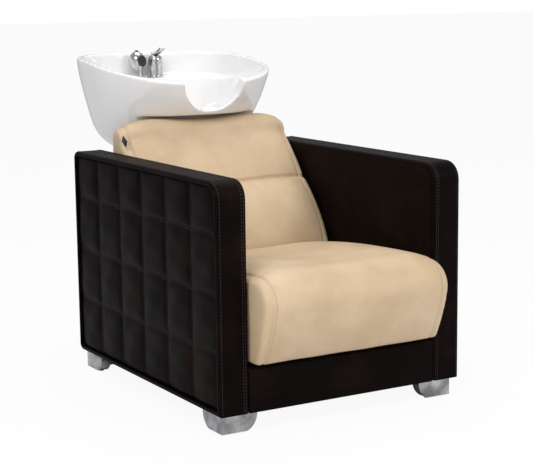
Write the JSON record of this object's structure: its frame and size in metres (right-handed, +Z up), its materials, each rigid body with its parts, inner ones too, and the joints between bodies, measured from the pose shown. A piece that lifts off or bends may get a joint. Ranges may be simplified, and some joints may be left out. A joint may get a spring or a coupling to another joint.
{
  "type": "hair washing bed",
  "caption": "Padded salon backwash armchair with quilted box arms, corner feet and a tilting ceramic basin with neck notch, mixer tap and hand shower.",
  "frame": {"origin": "on the floor, at the middle of the whole object's footprint", "axes": "+X to the sitter's left, +Y from the seat towards the basin, +Z up"},
  "size_m": [0.73, 1.236, 0.9071],
  "materials": {
    "dark_leather": "satin",
    "cream_leather": "satin",
    "ceramic": "gloss",
    "chrome": "polished",
    "polished_foot": "polished",
    "timber": "raw",
    "black_steel": "satin",
    "zinc_steel": "plated",
    "brass": "plain",
    "rubber": "matt",
    "black_plastic": "satin",
    "cloth": "woven"
  },
  "bodies": {
    "root": {"back_posts": "timber", "backrest_board": "timber", "backrest_cushion": "cream_leather", "base_crossbar": "black_steel", "column": "black_steel", "dust_cloth": "cloth", "floor_plate": "black_steel", "foot_glides": "rubber", "foot_screws": "zinc_steel", "friction_washers": "black_plastic", "front_left_foot": "polished_foot", "front_rail_cover": "dark_leather", "front_rail_frame": "timber", "front_right_foot": "polished_foot", "left_arm_band": "dark_leather", "left_arm_frame": "timber", "left_inner_panel": "dark_leather", "left_quilted_panel": "dark_leather", "pivot_bolts": "zinc_steel", "rear_left_foot": "polished_foot", "rear_panel": "dark_leather", "rear_rail": "timber", "rear_right_foot": "polished_foot", "right_arm_band": "dark_leather", "right_arm_frame": "timber", "right_inner_panel": "dark_leather", "right_quilted_panel": "dark_leather", "seat_cushion": "cream_leather", "seat_side_rails": "timber", "seat_webbing": "cloth", "tie_rails": "black_steel", "tilt_yoke": "black_steel"},
    "basin": {"basin_bowl": "ceramic", "cradle": "black_steel", "cradle_pad": "rubber", "drain_flange": "chrome", "drain_nut": "black_plastic", "mixer_body": "chrome", "mixer_shank": "brass", "mixer_nut": "brass", "inlet_tails": "brass", "shower_collar": "chrome", "collar_nut": "brass"},
    "mixer_cap": {"mixer_cap": "chrome"},
    "mixer_lever": {"mixer_lever": "chrome"},
    "hand_shower": {"hand_shower": "chrome", "shower_nozzle": "black_plastic"},
    "shower_button": {"shower_button": "black_plastic"},
    "strainer": {"strainer": "chrome"}
  },
  "joints": [
    {"name": "basin_tilt", "type": "hinge", "parent": "root", "child": "basin", "pos_m": [0, 0.402, 0.56], "axis": [-1, 0, 0], "range_deg": [0, 12]},
    {"name": "mixer_swivel", "type": "hinge", "parent": "basin", "child": "mixer_cap", "pos_m": [0.024, 0.568, 0.86], "axis": [0, 0, 1], "range_deg": [-45, 45]},
    {"name": "lever_lift", "type": "hinge", "parent": "mixer_cap", "child": "mixer_lever", "pos_m": [0.02505, 0.57995, 0.8816], "axis": [-0.9962, 0.0872, 0], "range_deg": [0, 22]},
    {"name": "shower_lift", "type": "slide", "parent": "basin", "child": "hand_shower", "axis": [0, 0, 1], "range_m": [0, 0.25]},
    {"name": "button_press", "type": "slide", "parent": "hand_shower", "child": "shower_button", "axis": [0, 0, -1], "range_m": [0, 0.002], "stiffness_N_per_m": 300},
    {"name": "strainer_lift", "type": "slide", "parent": "basin", "child": "strainer", "axis": [0, 0, 1], "range_m": [0, 0.12]}
  ]
}
